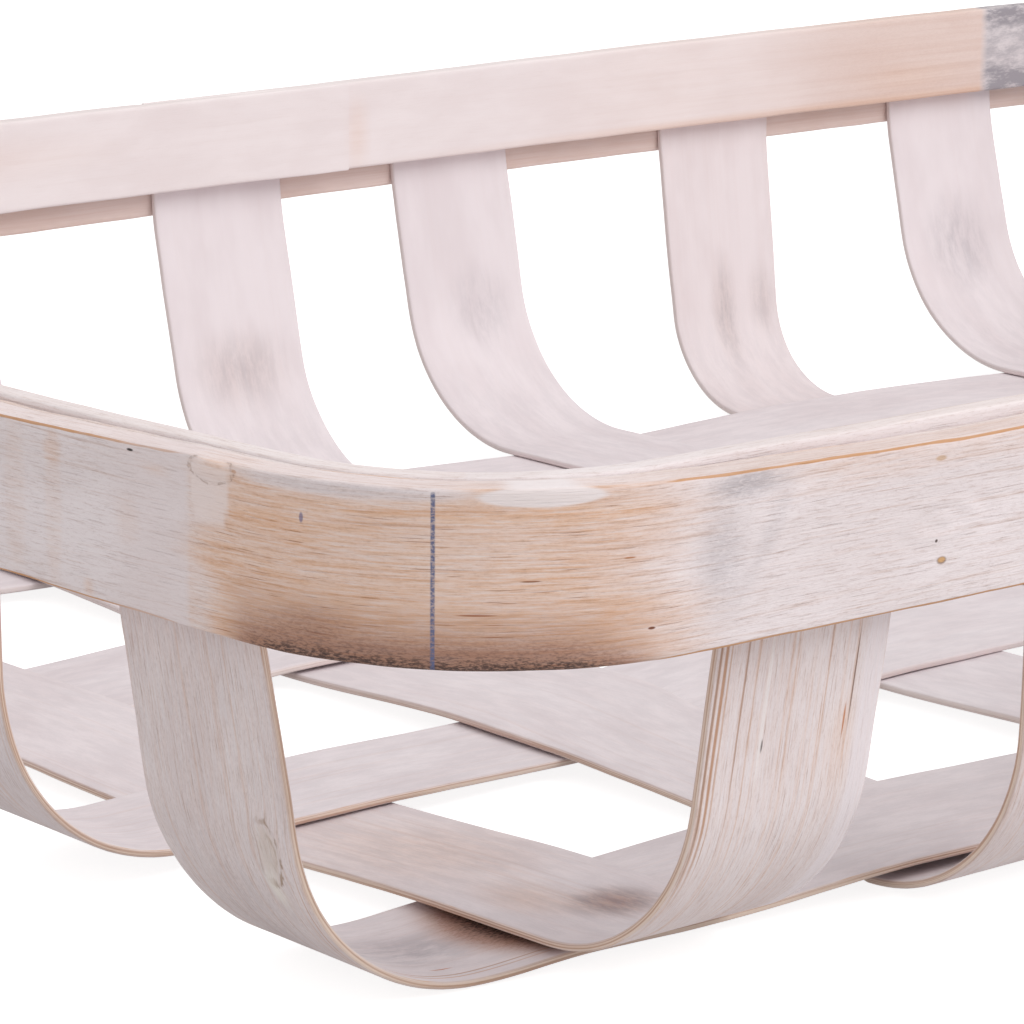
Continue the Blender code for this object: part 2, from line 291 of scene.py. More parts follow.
def outer_relief(around, height):
    """How far the band's face stands out: a lump and drip of filler, ripples round a knot, and waves."""
    lump = spot(around, height, lump_place, lump_reach, 0.45) * 0.0006
    rim_away = np.hypot((around - lump_place[0]) / lump_reach[0], (height - lump_place[1]) / lump_reach[1])
    groove = np.exp(-((rim_away - 1.0) / 0.14) ** 2) * 0.00025
    dx = (around - knot_place[0]) / 0.011
    dz = (height - knot_place[1]) / 0.0045
    ripple = np.cos(9 * np.sqrt(dx ** 2 + dz ** 2) + 1.2 * dx) * np.exp(-(dx ** 2 + dz ** 2)) * 0.00022
    wave = 0.00012 * drift(around + 0.2 * height, 0.06, 8)
    wave = wave + 0.00003 * drift(height * 3 + around * 0.1, 0.012, 9)
    return lump - groove + ripple + wave + 0.00012 * drip_share(around, height)


def drip_share(around, height):
    """1 on the drip of filler below the lump, which narrows downwards, falling to 0 at its edge."""
    down = np.clip((lump_place[1] - height) / 0.0096, 0, 1)
    half_width = 0.0050 - 0.0014 * down ** 2
    beside = 1 - smooth(np.abs(around + 0.0478), half_width - 0.0005, half_width)
    return beside * smooth(height, 0.0864, 0.0874) * (height < lump_place[1])


def outer_wear(around, height):
    """Bare edges away from the corner, where the wash was wiped off, and a thinly washed top to its right."""
    low = height < rim_top - band_height / 2
    edge = 0.15 + (0.90 + 0.10 * low) * smooth(around, -0.050, -0.060)
    edge = edge + (0.95 + 0.25 * low) * smooth(around, 0.022, 0.045)
    side = 0.05 + 0.16 * smooth(around, 0.015, 0.060)
    return edge, side


# Each spot is its strength, its middle as distance round the rim and height, its reach and how soft it is.
band_warm_spots = [
    (0.14, (-0.0870, 0.0830), (0.0030, 0.0180), 0.5),
    (0.28, (-0.0872, 0.0935), (0.0034, 0.0040), 0.6),
    (0.14, (-0.0975, 0.0840), (0.0040, 0.0200), 0.6),
    (0.22, (-0.0680, 0.0840), (0.0045, 0.0060), 0.8),
    (0.65, (-0.0610, 0.0938), (0.0055, 0.0011)),
    (0.45, (-0.0780, 0.0705), (0.0020, 0.0030)),
    (0.50, (0.0130, 0.0932), (0.0300, 0.0015)),
    (0.35, (-0.0200, 0.0935), (0.0220, 0.0012)),
]
band_stain_spots = [
    (0.55, (0.0520, 0.0945), (0.0120, 0.0036), 0.9),
    (0.35, (0.0460, 0.0830), (0.0090, 0.0160)),
    (0.20, (-0.0210, 0.0968), (0.0240, 0.0018), 0.7),
    (0.25, (-0.0060, 0.0705), (0.0300, 0.0020)),
]


def outer_marks(around, height, out_through):
    """Bare warm wood, grey stain and scorch on the band, by the distance round from the corner and height.

    The wood is bare between two ragged borders, warmest low down, and scorched along its bottom edge.
    """
    up = height - outer_bottom(around)
    ragged = around + 0.004 * drift(height, 0.02, 11)
    window = smooth(ragged, -0.0560, -0.0440) * (1 - smooth(ragged, 0.018, 0.050))
    window = np.maximum(window, 0.36 * smooth(around, -0.0540, -0.0528) * (1 - smooth(around, 0.0, 0.04)))
    bare = 0.74 + 0.20 * smooth(up, 0.022, 0.004)
    warm = window * (bare + 0.18 * spot(around, height, (-0.030, 0.090), (0.022, 0.005)))
    warm = warm + spots(around, height, band_warm_spots)
    warm = warm + 0.25 * smooth(around, 0.050, 0.075) * smooth(height, 0.089, 0.095)
    warm = warm * (1 - 0.85 * spot(around, height, (-0.020, 0.0970), (0.027, 0.0022), 0.4))
    hot = smooth(around, -0.0505, -0.0380) * (1 - smooth(around, 0.014, 0.046))
    char = smooth(around, -0.045, -0.030) * (1 - smooth(around, 0.014, 0.038))
    scorch = hot * 0.30 * smooth(up, 0.017, 0.001) + char * 0.72 * np.exp(-up / 0.0020)
    scorch = scorch + 0.10 * spot(around, height, (-0.026, 0.0745), (0.012, 0.005))
    slanted = around - 0.55 * (height - 0.085)
    stain = spots(around, height, band_stain_spots)
    stain = stain + 0.22 * spot(slanted, height, (0.0565, 0.085), (0.0038, 0.013), 0.9)
    face = smooth(out_through, -0.2, 0.6)
    inside = (0.15 + 0.30 * smooth(np.abs(around), 0.45, 0.50)) * (1 - face)
    warm, stain, scorch = (np.clip(share, 0, 1) * face for share in (warm, stain, scorch))
    return stack(warm + inside, stain, scorch)


outer_hoop = bend_hoop(
    "rim_outer_hoop", round_rim(0.120, -1), scarf_length, 0.0, band_thickness, outer_bottom, outer_top,
    0.0, outer_relief, outer_marks, outer_wear, 0.0008)


def set_inputs(tree, node, values):
    """Gives a node's inputs their values: a number, a colour, or the socket of another node to link to."""
    for key, value in values.items():
        if isinstance(value, bpy.types.NodeSocket):
            tree.links.new(value, node.inputs[key])
        else:
            node.inputs[key].default_value = value


def add_node(tree, kind, values, **settings):
    """Adds a node with its settings and the values of its inputs."""
    node = tree.nodes.new(kind)
    for key, value in settings.items():
        setattr(node, key, value)
    set_inputs(tree, node, values)
    return node


class Finish:
    """Builds one finish out of nodes."""

    def __init__(self, name):
        self.material = bpy.data.materials.new(name)
        self.material.use_nodes = True
        self.tree = self.material.node_tree
        self.stock = self.attribute("stock")
        self.marks = self.parts(self.attribute("marks"))
        self.trim = self.parts(self.attribute("trim"))
        self.place = self.parts(self.stock)

    def add(self, kind, values, **settings):
        return add_node(self.tree, kind, values, **settings)

    def attribute(self, name):
        return self.add("ShaderNodeAttribute", {}, attribute_name=name).outputs["Vector"]

    def parts(self, vector):
        return list(self.add("ShaderNodeSeparateXYZ", {0: vector}).outputs)

    def maths(self, operation, *values):
        return self.add("ShaderNodeMath", dict(enumerate(values)), operation=operation).outputs[0]

    def plus(self, first, second):
        return self.maths("ADD", first, second)

    def minus(self, first, second):
        return self.maths("SUBTRACT", first, second)

    def times(self, first, second):
        return self.maths("MULTIPLY", first, second)

    def fade(self, value, start, end, low=0.0, high=1.0):
        values = {"Value": value, "From Min": start, "From Max": end, "To Min": low, "To Max": high}
        return self.add("ShaderNodeMapRange", values, interpolation_type="SMOOTHSTEP").outputs[0]

    def mix(self, share, first, second):
        return self.add("ShaderNodeMix", {0: share, 6: first, 7: second}, data_type="RGBA").outputs[2]

    def tint(self, colour, mask, strength, ink):
        """The colour with ink laid over it, as thick as the mask times the strength."""
        return self.mix(self.times(mask, strength), colour, ink)

    def noise(self, along, across, detail=2.0, rough=0.5, shift=0.0, through=None):
        """Noise in the wood, by how many waves it has in a metre along, across and through the wood."""
        scale = (along, across, across if through is None else through)
        stretch = self.add("ShaderNodeMapping", {
            "Vector": self.stock, "Location": (shift, shift, shift), "Scale": scale}).outputs[0]
        values = {"Vector": stretch, "Scale": 1.0, "Detail": detail, "Roughness": rough}
        return self.add("ShaderNodeTexNoise", values).outputs["Fac"]

    def wobble(self, swing, *scales):
        """Noise that swings about 0."""
        return self.times(self.minus(self.noise(*scales), 0.5), swing)

    def away(self, middle, reach):
        """How far out a point lies from a place on the strip's face, where 1 is on an ellipse round it."""
        along = self.maths("DIVIDE", self.minus(self.place[0], middle[0]), reach[0])
        across = self.maths("DIVIDE", self.minus(self.place[1], middle[1]), reach[1])
        squares = self.plus(self.maths("POWER", along, 2.0), self.maths("POWER", across, 2.0))
        return self.maths("SQRT", squares)

    def within(self, middle, reach, soft):
        """1 inside an ellipse round a place on the strip's face, falling to 0 at its edge."""
        return self.fade(self.away(middle, reach), 1.0, 1.0 - soft)

    def finish(self, colour, roughness, height, depth):
        bump = self.add("ShaderNodeBump", {"Strength": 0.6, "Distance": depth, "Height": height}).outputs[0]
        set_inputs(self.tree, self.tree.nodes["Principled BSDF"], {
            "Base Color": colour, "Roughness": roughness, "Normal": bump, "Specular IOR Level": 0.25})
        return self.material


def shade(red, green, blue):
    """A colour from its display values, 0 to 255."""
    parts = np.array([red, green, blue]) / 255
    linear = np.where(parts <= 0.04045, parts / 12.92, ((parts + 0.055) / 1.055) ** 2.4)
    return (*linear.tolist(), 1.0)


light_tan = shade(235, 200, 178)
deep_tan = shade(223, 178, 148)
orange_brown = shade(198, 136, 74)
scorch_and_shadow_brown = shade(160, 116, 98)
char_and_shadow_brown = shade(66, 52, 52)
stain_and_shade_grey = shade(160, 154, 160)
fibre_brown = shade(148, 112, 92)
fibre_white = shade(244, 236, 234)


def washed_wood(wood, pale, grey, bare, streaks):
    """Thin wash over streaked wood, which shows in streaks, on worn edges and where the marks say so.

    bare is how much wood shows in streaks, and streaks how many waves they have in a metre along and across.
    Returns the colour, the roughness and the height.
    """
    warm, stain, scorch = wood.marks
    edge, side, grain = wood.trim
    hair = wood.noise(170.0, 2900.0, 2.0, 0.7)
    fibre = wood.noise(90.0, 2100.0, 3.0, 0.65, 1.3)
    streak = wood.noise(*streaks, 3.0, 0.6, 3.7)
    cloud = wood.noise(30.0, 75.0, 3.0, 0.6, 9.1)
    grit = wood.noise(1000.0, 3300.0, 2.0, 0.7, 17.3)
    dashes = wood.noise(95.0, 3600.0, 1.0, 0.5, 31.0)
    timber = wood.mix(wood.fade(streak, 0.36, 0.68), light_tan, deep_tan)
    timber = wood.tint(timber, wood.fade(cloud, 0.46, 0.70), 0.45, shade(228, 180, 146))
    wash = wood.mix(wood.fade(cloud, 0.36, 0.66), pale, grey)
    swing = wood.plus(wood.fade(hair, 0.3, 0.7, -0.16, 0.16), wood.fade(fibre, 0.3, 0.7, -0.12, 0.12))
    swing = wood.times(swing, wood.times(grain, wood.plus(0.25, warm)))
    bared = wood.times(wood.fade(streak, 0.52, 0.70), wood.times(grain, bare))
    thin = wood.plus(wood.plus(swing, bared), wood.times(warm, 0.95))
    thin = wood.add("ShaderNodeClamp", {"Value": thin}).outputs[0]
    colour = wood.mix(thin, wash, timber)
    dark = wood.plus(wood.fade(hair, 0.52, 0.76), wood.fade(grit, 0.52, 0.72, 0.0, 0.55))
    dark = wood.plus(dark, wood.fade(streak, 0.60, 0.70, 0.0, 0.8))
    colour = wood.tint(colour, dark, wood.times(grain, 0.28), fibre_brown)
    light = wood.plus(wood.fade(hair, 0.46, 0.26), wood.fade(grit, 0.48, 0.30, 0.0, 0.55))
    colour = wood.tint(colour, light, wood.times(grain, 0.27), fibre_white)
    crack = wood.times(wood.fade(dashes, 0.69, 0.75), wood.times(grain, wood.plus(0.25, warm)))
    colour = wood.tint(colour, crack, 0.70, shade(168, 104, 62))
    blot = wood.noise(110.0, 330.0, 4.0, 0.7, 5.5)
    blot = wood.plus(blot, wood.times(wood.minus(grit, 0.4), wood.times(grain, 0.8)))
    # The stain share also holds painted shade on the splints, so this grey is partly painted shade.
    colour = wood.tint(colour, stain, wood.fade(blot, 0.34, 0.66, 0.35, 1.0), stain_and_shade_grey)
    # The scorch share also holds a painted shadow, so these browns are partly painted shadow.
    burnt = wood.times(scorch, wood.fade(grit, 0.32, 0.68, 1.26, 0.56))
    toasted = wood.times(scorch, wood.fade(grit, 0.32, 0.68, 1.10, 0.80))
    colour = wood.mix(wood.fade(toasted, 0.0, 0.45, 0.0, 0.80), colour, scorch_and_shadow_brown)
    colour = wood.mix(wood.fade(burnt, 0.30, 0.95, 0.0, 0.90), colour, char_and_shadow_brown)
    ragged = wood.plus(edge, wood.times(wood.noise(70.0, 700.0, 3.0, 0.6, 23.0), 1.8))
    colour = wood.tint(colour, wood.fade(ragged, 1.55, 1.90), 0.80, orange_brown)
    layer = wood.noise(14.0, 200.0, through=3400.0)
    cut = wood.mix(wood.fade(layer, 0.42, 0.60), shade(232, 208, 188), shade(184, 140, 106))
    colour = wood.mix(side, colour, cut)
    height = wood.plus(wood.times(fibre, 0.5), wood.times(hair, 0.5))
    height = wood.minus(height, wood.times(wood.fade(dashes, 0.66, 0.76), 0.5))
    height = wood.times(height, grain)
    roughness = wood.fade(cloud, 0.2, 0.8, 0.68, 0.86)
    return colour, roughness, height


def plain_finish(name, pale, grey, bare, streaks):
    """A wash without marks of its own."""
    wood = Finish(name)
    return wood.finish(*washed_wood(wood, pale, grey, bare, streaks), 0.0002)


def outer_band_finish():
    """The band's wash, with a drip of white filler, a clear edge to the wash, a pen line and small marks."""
    wood = Finish("outer_band_wood")
    colour, roughness, height = washed_wood(
        wood, shade(239, 228, 230), shade(231, 219, 220), bare=0.14, streaks=(26.0, 1300.0))
    middle = rim_top - band_height / 2
    around = wood.plus(wood.place[0], wood.wobble(0.004, 300.0, 300.0, 3.0, 0.6, 2.0))
    thick_wash = wood.times(wood.fade(around, -0.0526, -0.0538), wood.fade(around, -0.078, -0.062))
    colour = wood.tint(colour, thick_wash, 0.45, shade(232, 217, 217))
    drip = wood.parts(wood.attribute("drip"))[0]
    colour = wood.tint(colour, drip, 0.75, shade(240, 224, 221))
    on_face = wood.fade(wood.place[2], 0.0026, 0.0031)
    patch = wood.within((0.0128, 0.0964 - middle), (0.0118, 0.0019), 0.2)
    colour = wood.tint(colour, patch, 0.85, shade(242, 233, 234))
    ring = wood.minus(wood.away((lump_place[0], lump_place[1] - middle), lump_reach), 1.0)
    ring = wood.plus(ring, wood.wobble(0.5, 500.0, 500.0))
    broken = wood.fade(wood.noise(900.0, 900.0), 0.40, 0.56, 0.2, 1.0)
    ring = wood.times(wood.fade(wood.maths("ABSOLUTE", ring), 0.09, 0.03), wood.times(on_face, broken))
    colour = wood.tint(colour, ring, 0.40, shade(178, 150, 134))
    height = wood.minus(height, ring)
    dash = wood.fade(wood.noise(1500.0, 2200.0, 2.0, 0.6, 6.6), 0.34, 0.60, 0.45, 0.95)
    pen = wood.fade(wood.maths("ABSOLUTE", wood.plus(wood.place[0], 0.0050)), 0.0005, 0.00022)
    below_top = wood.fade(wood.place[1], 0.0974 - middle, 0.0968 - middle)
    pen = wood.times(wood.times(pen, dash), wood.times(on_face, below_top))
    colour = wood.mix(pen, colour, shade(98, 106, 140))
    for place, reach, ink, share in (
        ((-0.0277, 0.0912), (0.0005, 0.0011), (96, 96, 140), 0.7),
        ((-0.0672, 0.0963), (0.0010, 0.0003), (40, 30, 28), 0.95),
        ((-0.0421, 0.0966), (0.0008, 0.0004), (196, 140, 96), 0.5),
        ((0.0943, 0.0786), (0.0004, 0.0004), (70, 50, 44), 0.9),
        ((0.0957, 0.0750), (0.0014, 0.0009), (120, 86, 60), 0.8),
        ((0.0957, 0.0751), (0.0011, 0.0006), (212, 168, 122), 1.0),
        ((0.0950, 0.0929), (0.0016, 0.0006), (206, 172, 142), 0.8),
        ((0.0317, 0.0732), (0.0009, 0.0003), (120, 66, 40), 0.95),
        ((0.0108, 0.0825), (0.0022, 0.0002), (140, 84, 48), 0.8),
        ((0.0020, 0.0770), (0.0040, 0.0002), (150, 84, 44), 0.8),
        ((0.0275, 0.0854), (0.0014, 0.0002), (176, 110, 60), 0.8),
    ):
        mark = wood.within((place[0], place[1] - middle), reach, 0.5)
        colour = wood.tint(colour, mark, share, shade(*ink))
    return wood.finish(colour, roughness, height, 0.00035)


band_stock = np.empty((len(outer_hoop.data.vertices), 3))
outer_hoop.data.attributes["stock"].data.foreach_get("vector", band_stock.ravel())
outer_side = band_stock[:, 2] > -0.001
on_drip = drip_share(band_stock[:, 0], band_stock[:, 1] + rim_top - band_height / 2) * outer_side
drip_layer = outer_hoop.data.attributes.new("drip", "FLOAT_VECTOR", "POINT")
drip_layer.data.foreach_set("vector", np.repeat(on_drip, 3))
outer_hoop.data.materials.append(outer_band_finish())


# Inner hoop. A narrower strip pressed against the insides of the splints and glued to them. It is washed more
# thickly than the outer one, and one of its ends laps over the other on the far long side.
inner_thickness = 0.0047
splint_thickness = 0.0015
inner_inset = band_thickness + splint_thickness + 2 * gap
inner_height = 0.0235


def far_place(around):
    """X on the far long side at a distance round the rim."""
    return girth / 2 + arc_ends[1] / 2 - around % girth


def inner_top(around):
    """Height of the inner hoop's top edge, which dips on the left of the far side."""
    places = [-0.32, -0.10, 0.0, 0.10, 0.20]
    drops = [0.0003, 0.0016, 0.0014, 0.0006, 0.0003]
    return rim_top - np.interp(far_place(around), places, drops) + 0.00006 * drift(around, 0.045, 21)


def inner_bottom(around):
    """Height of the inner hoop's bottom edge."""
    return rim_top - inner_height + 0.00008 * drift(around, 0.05, 22)


def inner_relief(around, height):
    """Slight waves and no more, because the hoop's outer face is hidden."""
    return 0.0001 * drift(around + height, 0.05, 23)


inner_warm_spots = [
    (0.16, (0.1900, 0.0810), (0.0300, 0.0060)),
    (0.25, (-0.0035, 0.0830), (0.0050, 0.0140)),
    (0.12, (-0.1200, 0.0870), (0.0600, 0.0080)),
]


def inner_marks(around, height, out_through):
    """The far inside turns brown and then grey towards the right, with a bare strip beside the lap joint."""
    place = far_place(around)
    grey = smooth(place, 0.2190, 0.2205)
    warm = 0.07 + 0.12 * smooth(place, 0.030, 0.110) + 0.27 * smooth(place, 0.120, 0.190)
    warm = warm + spots(place, height, inner_warm_spots)
    warm = warm + 0.35 * smooth(height, 0.0775, 0.0750) * smooth(place, -0.02, 0.13)
    stain = grey * (0.7 + 0.6 * smooth(np.abs(height - 0.087), 0.002, 0.011))
    scorch = 0.12 * smooth(place, 0.100, 0.180) * (1 - grey)
    far = place <= 0.30
    return stack(np.clip(warm * (1 - grey), 0, 1) * far, stain * far, scorch * far)


def hoop_wear(around, height):
    """Edges and a top that kept most of their wash."""
    return 0.35, 0.05 + 0.10 * smooth(np.abs(around - 0.3), 0.27, 0.20)


inner_hoop = bend_hoop(
    "rim_inner_hoop", round_rim(-0.007, 1), scarf_length, inner_inset, inner_thickness, inner_bottom,
    inner_top, scarf_tip + gap, inner_relief, inner_marks, hoop_wear, 0.0012)
inner_hoop.data.materials.append(plain_finish(
    "inner_band_wood", shade(242, 233, 234), shade(237, 227, 228), bare=0.04, streaks=(9.0, 520.0)))


# Filler strip. A thin strip of the same wood, glued between the two hoops along their top edges. It covers
# the ends of the splints, and its own ends lap on the far long side.
filler_inset = band_thickness + gap
filler_thickness = splint_thickness
filler_height = 0.006
filler_lap = 0.024


def filler_top(around):
    """Height of the strip's top edge, a little below the hoops."""
    return np.minimum(outer_top(around), inner_top(around)) - 0.0003 + 0.00006 * drift(around, 0.03, 31)


def filler_bottom(around):
    """Height of the strip's bottom edge, hidden between the hoops."""
    return np.full_like(around, rim_top - filler_height)


def filler_marks(around, height, out_through):
    """Patches of bare wood along the top, and a little grey all over."""
    return stack(np.clip(0.15 + 0.35 * drift(around, 0.08, 33), 0, 1), 0.08, 0.0)


filler_strip = bend_hoop(
    "rim_filler", round_rim(0.100, 1), filler_lap, filler_inset, filler_thickness, filler_bottom, filler_top,
    0.0, inner_relief, filler_marks, hoop_wear, 0.0020)
filler_strip.data.materials.append(plain_finish(
    "filler_wood", shade(238, 228, 227), shade(228, 216, 214), bare=0.20, streaks=(12.0, 900.0)))


# Splints. Flat strips of thick peeled veneer, laid in a plain weave, bent up at the sides and glued between
# the hoops. Four run along the tray and six across it, and each was laid by eye.
splint_width = 0.038
splint_rounding = 0.00045
splint_row_step = 0.0016
knee_radius = 0.060
crest_reach = 0.0075
shortest_ramp = 0.006
weave_lift = 0.0021
lengthwise_margin = 0.06725
crosswise_margin = 0.090


def lay(shifts, widths, first=(7.0, 41.0), last=(7.0, 41.0), swell=(0.0, -0.2, -0.1, 0.1, 0.2), lifts=(0.0,)):
    """How one splint was laid by eye.

    shifts is how far it lies off its even place and widths how wide it is, as shares of the usual width, at
    its near or left end, in the middle and at its other end. first and last are its bends, each as the
    riser's lean in degrees and the radius in millimetres. swell is how much wider its far or right half grows
    for a while, with the distances along it where this starts, is full, begins to end and is over. lifts is
    how much higher than the rest it lies at its crossings, in millimetres.
    """
    return shifts, widths, (first, last), swell, lifts


lengthwise_lay = [
    lay((0.258, -0.245, 0.11), (0.88, 1.16, 1.00), (6.1, 38.0), lifts=(-0.6, 0.0, 0.0, 0.0, 0.0, 0.0)),
    lay((-0.36, 0.01, -0.01), (0.84, 0.93, 0.93), (3.8, 44.4), swell=(0.0108, -0.135, -0.10, 0.10, 0.20)),
    lay((-0.12, -0.14, 0.00), (1.00, 1.00, 1.00), (6.0, 41.0)),
    lay((0.08, -0.02, -0.33), (1.01, 0.95, 1.00), (6.0, 41.0)),
]
crosswise_lay = [
    lay((0.17, -0.145, -0.22), (1.04, 1.02, 1.03), (5.8, 35.8), lifts=(0.0, -0.4, -0.2, 0.0)),
    lay((-0.165, -0.15, -0.17), (1.03, 1.02, 1.00), (1.5, 38.4), swell=(0.009, -0.08, -0.03, 0.04, 0.12),
        lifts=(0.0, 0.5, -0.8, 0.5)),
    lay((-0.03, 0.01, -0.048), (0.99, 1.03, 1.03), last=(12.2, 35.9)),
    lay((-0.01, -0.02, -0.298), (1.00, 1.01, 0.99), last=(7.6, 37.9)),
    lay((0.01, -0.10, -0.085), (1.01, 0.89, 1.03), last=(8.3, 27.4)),
    lay((-0.02, 0.04, -0.09), (0.99, 1.12, 1.00), last=(12.2, 40.7)),
]


def even_places(count, room, margin):
    """Places of the middles of count splints, the outermost ones a margin in from the ends of the room."""
    return np.linspace(margin - room / 2, room / 2 - margin, count)


lengthwise_places = even_places(len(lengthwise_lay), rim_width, lengthwise_margin)
crosswise_places = even_places(len(crosswise_lay), rim_length, crosswise_margin)


def through_three(share, values):
    """A parabola through three values at shares -1, 0 and 1."""
    first, middle, last = values
    return first * share * (share - 1) / 2 + middle * (1 - share ** 2) + last * share * (share + 1) / 2


def laid_place(even_place, shifts, along, half_length):
    """Where a splint's middle lies at a distance along it from the tray's middle."""
    return even_place + splint_width * through_three(along / (half_length + rim_top / 2), shifts)


def rounded(before, corner, after, tangent, steps):
    """The arc that rounds a corner between two straight runs, starting a tangent's length from the corner."""
    into = (before - corner) / np.linalg.norm(before - corner)
    out = (after - corner) / np.linalg.norm(after - corner)
    half_angle = math.acos(np.clip(into @ out, -1, 1)) / 2
    radius = tangent * math.tan(half_angle)
    inward = (into + out) / np.linalg.norm(into + out)
    centre = corner + inward * radius / math.sin(half_angle)
    start = corner + into * tangent - centre
    half_turn = math.pi / 2 - half_angle
    side = np.sign(start[0] * inward[1] - start[1] * inward[0])
    angle = np.linspace(0, 2 * half_turn, steps + 1) * -side
    return centre + np.stack([start[0] * np.cos(angle) - start[1] * np.sin(angle),
                              start[0] * np.sin(angle) + start[1] * np.cos(angle)], axis=-1)


def riser_line(face, level, lean, radius):
    """A riser's middle line from its end between the hoops down to the floor, as distance out and height."""
    knee_tangent = knee_radius * math.tan(lean / 2)
    end = np.array([face, rim_top - filler_height - gap])
    knee = np.array([face, rim_top - inner_height - knee_tangent])
    foot = np.array([face - (knee[1] - level) * math.tan(lean), level])
    knee_arc = rounded(end, knee, foot, knee_tangent, 6)
    bend_arc = rounded(knee, foot, np.array([0.0, level]), radius * math.tan((math.pi / 2 - lean) / 2), 24)
    return np.concatenate([end[None], knee_arc, bend_arc])


def rim_reach(off_middle, inset, short_side):
    """Distance from the tray's middle to the rim's face, moved in by inset, at places off a side's middle."""
    side_arc = 3 if short_side else 5
    axis = 0 if short_side else 1
    off = np.abs(off_middle)

    def reach(arc):
        centre, radius = arc_centres[arc], arc_radii[arc] - inset
        return centre[axis] + np.sqrt(np.maximum(radius ** 2 - (off - centre[1 - axis]) ** 2, 0))

    turn = arc_angles[4] - 2 * math.pi if short_side else math.pi / 2 - (arc_angles[5] - 2 * math.pi)
    past = off > (arc_radii[side_arc] - inset) * math.sin(turn)
    return np.where(past, reach(4), reach(side_arc))


def splint_course(index, lengthwise):
    """A splint's middle line from end to end, as distance along and height, with the shift of its middle.

    The tray stands on the bends, and the weave between them hangs a little above what it stands on. A splint
    is level for a short reach at each crossing, and in between its height follows half a wave.
    """
    ways = [
        (lengthwise_lay, lengthwise_places, rim_length / 2), (crosswise_lay, crosswise_places, rim_width / 2)]
    (own, places, half_length), (crossed, others, half_other) = ways if lengthwise else ways[::-1]
    shifts, _, bends, swell, lifts = own[index]
    over = np.array([((index + other) % 2 == 1) == lengthwise for other in range(len(crossed))])
    meets = np.array([
        laid_place(place, row[0], places[index], half_other) for place, row in zip(others, crossed)])
    levels = splint_thickness / 2 + weave_lift + over * (splint_thickness + gap) + np.array(lifts) / 1000
    ends = []
    for sign, first, (lean, radius) in ((-1, 0, bends[0]), (1, -1, bends[1])):
        place = laid_place(places[index], shifts, sign * (half_length + rim_top / 2), half_length)
        face = float(rim_reach(place, band_thickness + gap + splint_thickness / 2, lengthwise))
        low = levels[first] if over[first] else splint_thickness / 2
        ends.append(riser_line(face, low, math.radians(lean), radius / 1000) * (sign, 1))
    starts, stops = ends[0][-1], ends[1][-1]
    inner = np.linspace(starts[0], stops[0], 900)[1:-1]
    turns = np.concatenate([[starts[0] - crest_reach], meets, [stops[0] + crest_reach]])
    heights = np.concatenate([[starts[1]], levels, [stops[1]]])
    height = np.full_like(inner, heights[0])
    for here, there, low, high in zip(turns[:-1], turns[1:], heights[:-1], heights[1:]):
        run = max(there - here - 2 * crest_reach, shortest_ramp)
        share = np.clip((inner - (here + there) / 2) / run + 0.5, 0, 1)
        height = height + (high - low) * (1 - np.cos(np.pi * share)) / 2
    line = np.concatenate([ends[0], np.stack([inner, height], axis=-1), ends[1][::-1]])
    walked = np.concatenate([[0], np.cumsum(np.hypot(*np.diff(line, axis=0).T))])
    rows = np.linspace(0, walked[-1], int(walked[-1] / splint_row_step))
    along = rows - walked[-1] / 2
    distance = np.interp(rows, walked, line[:, 0])
    level = np.interp(rows, walked, line[:, 1])
    extra = swell[0] * (smooth(distance, *swell[1:3]) - smooth(distance, *swell[3:]))
    return along, distance, level, laid_place(places[index], shifts, along, half_length) + extra / 2, extra


splint_section = strip_section(36, 4, 2)
stock_between = 2.3
edge_wear = 0.7
side_wear = 0.75


def splint_number(index, lengthwise):
    """A number for each splint, which sets its waves and its place in the stock that all are cut from."""
    return 40 + index + (10 if lengthwise else 0)


def bend_splint(name, index, lengthwise, relief, marks):
    """A flat strip carried along its course, its ends following the bow of the rim, with slightly wavy edges.

    relief gives how far the outer face stands out, and marks what shows on the two faces.
    """
    along, distance, level, place, extra = splint_course(index, lengthwise)
    widths = (lengthwise_lay if lengthwise else crosswise_lay)[index][1]
    seed = splint_number(index, lengthwise)
    slope = np.stack([np.gradient(distance, along), np.gradient(level, along)])
    slope /= np.hypot(*slope)
    normal = np.stack([-slope[1], slope[0]])[:, :, None]
    core_across, core_through, out_across, out_through = splint_section[:, None, :]
    half_width = splint_width / 2 * through_three(along / along[-1], widths) + extra / 2
    half_width = (half_width + 0.00012 * drift(along, 0.05, seed))[:, None]
    half_through = splint_thickness / 2
    across = core_across * (half_width - splint_rounding) + out_across * splint_rounding
    cup = 0.00010 * drift(along, 0.09, seed + 50)[:, None] * (across / half_width) ** 2
    through = core_through * (half_through - splint_rounding) + out_through * splint_rounding
    lift = through + cup - np.clip(-out_through, 0, 1) * relief(along[:, None], across)
    side = place[:, None] + (across if lengthwise else -across)
    inset = band_thickness + gap + half_through
    bowed = rim_reach(side, inset, lengthwise) - rim_reach(place, inset, lengthwise)[:, None]
    rise = smooth(level, 0.008, 0.041)[:, None]
    run = distance[:, None] + normal[0] * lift + np.sign(distance)[:, None] * bowed * rise
    high = level[:, None] + normal[1] * lift
    points = stack(run, side, high) if lengthwise else stack(side, run, high)
    stock = stack(along[:, None] + stock_between * seed, across, through)
    near_edge = np.clip(2.4 * np.abs(out_across * out_through), 0, 1)
    on_side = np.maximum(np.abs(out_across) * (np.abs(core_through) < 1), np.abs(out_across) ** 2)
    clear = crispness(points)
    worn = 0.10 + 0.90 * clear
    inside = smooth(out_through, -0.2, 0.2)
    trim = stack(near_edge * edge_wear * worn, on_side * side_wear * worn, clear * (1 - 0.80 * inside))
    # Where grey painted shade falls: 1 on the floor part, 0 up the risers.
    floor_shade = (1 - smooth(level, 0.006, 0.030))[:, None]
    piece = add_strip(name, points, stock, marks(along[:, None], across, inside, floor_shade), trim)
    piece.data.materials.append(splint_wood)
    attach(piece, "root")
    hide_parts(name)


